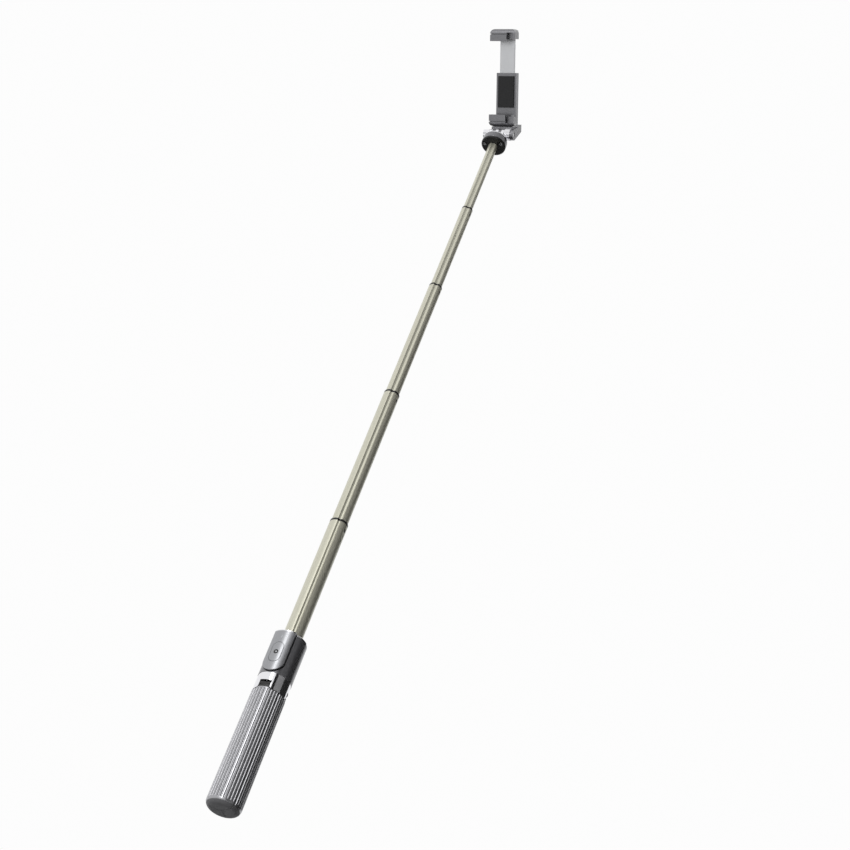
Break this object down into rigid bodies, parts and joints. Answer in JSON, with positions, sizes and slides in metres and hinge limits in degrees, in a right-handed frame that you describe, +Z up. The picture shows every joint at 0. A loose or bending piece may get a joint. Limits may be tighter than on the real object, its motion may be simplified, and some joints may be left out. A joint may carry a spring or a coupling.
{
  "type": "selfie stick",
  "caption": "Telescopic selfie stick with tripod-leg handle, lift-off shutter remote and a tilting, swivelling sprung phone holder.",
  "frame": {"origin": "on the pole's axis, at the foot of the closed tripod handle", "axes": "+Z up along the pole to the phone holder, -Y to the remote's side, +X to the tilt nut's side"},
  "size_m": [0.0307, 0.086, 0.8319],
  "materials": {
    "bright_chrome": "polished",
    "leg_lacquer": "gunmetal lacquer on plastic",
    "housing_plastic": "semi-gloss",
    "remote_silver": "satin",
    "black_plastic": "matte",
    "pole_champagne": "satin anodised",
    "rubber_grey": "matte grey",
    "rubber_black": "matte",
    "steel": "satin",
    "board_green": "satin",
    "indicator_clear": "frosted"
  },
  "bodies": {
    "handle": {"hub": "bright_chrome", "collar_housing": "housing_plastic", "collar_rim": "bright_chrome", "collar_bush": "black_plastic", "guide_sleeve": "steel", "collar_screws": "steel", "dock_magnets": "steel", "hinge_pins": "steel", "detent_balls": "steel", "detent_springs": "steel"},
    "front_leg": {"leg_front": "leg_lacquer", "foot_front": "rubber_grey"},
    "right_leg": {"leg_right": "leg_lacquer", "foot_right": "rubber_grey"},
    "left_leg": {"leg_left": "leg_lacquer", "foot_left": "rubber_grey"},
    "remote": {"remote_front": "remote_silver", "remote_back": "black_plastic", "indicator_window": "indicator_clear", "remote_board": "board_green", "dome_switch": "steel", "coin_cell": "steel", "remote_keeper": "steel"},
    "shutter_button": {"remote_button": "remote_silver", "button_ring": "black_plastic"},
    "first_tube": {"tube_1": "pole_champagne", "bush_1": "black_plastic", "sleeve_1": "black_plastic"},
    "second_tube": {"tube_2": "pole_champagne", "bush_2": "black_plastic", "sleeve_2": "black_plastic"},
    "third_tube": {"tube_3": "pole_champagne", "bush_3": "black_plastic", "sleeve_3": "black_plastic"},
    "fourth_tube": {"tube_4": "pole_champagne", "bush_4": "black_plastic", "sleeve_4": "black_plastic"},
    "fifth_tube": {"tube_5": "pole_champagne", "sleeve_5": "black_plastic", "swivel_post": "steel", "swivel_washer": "steel", "swivel_screw": "steel"},
    "head": {"head_disc": "housing_plastic", "head_cap": "bright_chrome", "head_screws": "steel", "tilt_nut": "bright_chrome"},
    "tilt_screw": {"tilt_bolt": "bright_chrome"},
    "holder": {"holder_bracket": "housing_plastic", "lower_jaw": "housing_plastic", "lower_pad": "rubber_black", "arm_housing": "housing_plastic", "arm_cover": "housing_plastic", "cover_screws": "steel", "spring_pin": "steel", "back_pad": "rubber_black", "clamp_springs": "steel"},
    "top_jaw": {"upper_jaw": "housing_plastic", "upper_pad": "rubber_black", "slide_plate": "steel"}
  },
  "joints": [
    {"name": "first_tube_slide", "type": "slide", "parent": "handle", "child": "first_tube", "axis": [0, 0, 1], "range_m": [-0.1053, 0.0231]},
    {"name": "second_tube_slide", "type": "slide", "parent": "first_tube", "child": "second_tube", "axis": [0, 0, 1], "range_m": [-0.1384, 0]},
    {"name": "third_tube_slide", "type": "slide", "parent": "second_tube", "child": "third_tube", "axis": [0, 0, 1], "range_m": [-0.1302, 0.0109]},
    {"name": "fourth_tube_slide", "type": "slide", "parent": "third_tube", "child": "fourth_tube", "axis": [0, 0, 1], "range_m": [-0.1033, 0.0392]},
    {"name": "fifth_tube_slide", "type": "slide", "parent": "fourth_tube", "child": "fifth_tube", "axis": [0, 0, 1], "range_m": [-0.0911, 0.053]},
    {"name": "head_swivel", "type": "hinge", "parent": "fifth_tube", "child": "head", "pos_m": [0, 0, 0.7318], "axis": [0, 0, 1], "continuous": true},
    {"name": "holder_tilt", "type": "hinge", "parent": "head", "child": "holder", "pos_m": [0, 0, 0.7495], "axis": [0.9986, 0.0523, 0], "range_deg": [-90, 46]},
    {"name": "tilt_screw_turn", "type": "hinge", "parent": "head", "child": "tilt_screw", "pos_m": [0, 0, 0.7495], "axis": [0.9986, 0.0523, 0], "range_deg": [0, 180]},
    {"name": "top_jaw_slide", "type": "slide", "parent": "holder", "child": "top_jaw", "axis": [0.0423, -0.8079, 0.5878], "range_m": [-0.02, 0.014], "deforming": ["clamp_springs"]},
    {"name": "front_leg_hinge", "type": "hinge", "parent": "handle", "child": "front_leg", "pos_m": [0, -0.0103, 0.1], "axis": [-1, 0, 0], "range_deg": [0, 62]},
    {"name": "right_leg_hinge", "type": "hinge", "parent": "handle", "child": "right_leg", "pos_m": [0.00892, 0.00515, 0.1], "axis": [0.5, -0.866, 0], "range_deg": [0, 62]},
    {"name": "left_leg_hinge", "type": "hinge", "parent": "handle", "child": "left_leg", "pos_m": [-0.00892, 0.00515, 0.1], "axis": [0.5, 0.866, 0], "range_deg": [0, 62]},
    {"name": "remote_lift_off", "type": "slide", "parent": "handle", "child": "remote", "axis": [0, 0, 1], "range_m": [0, 0.045]},
    {"name": "button_press", "type": "slide", "parent": "remote", "child": "shutter_button", "axis": [0, 1, 0], "range_m": [0, 0.0005], "stiffness_N_per_m": 800, "springref_m": -0.0005}
  ]
}
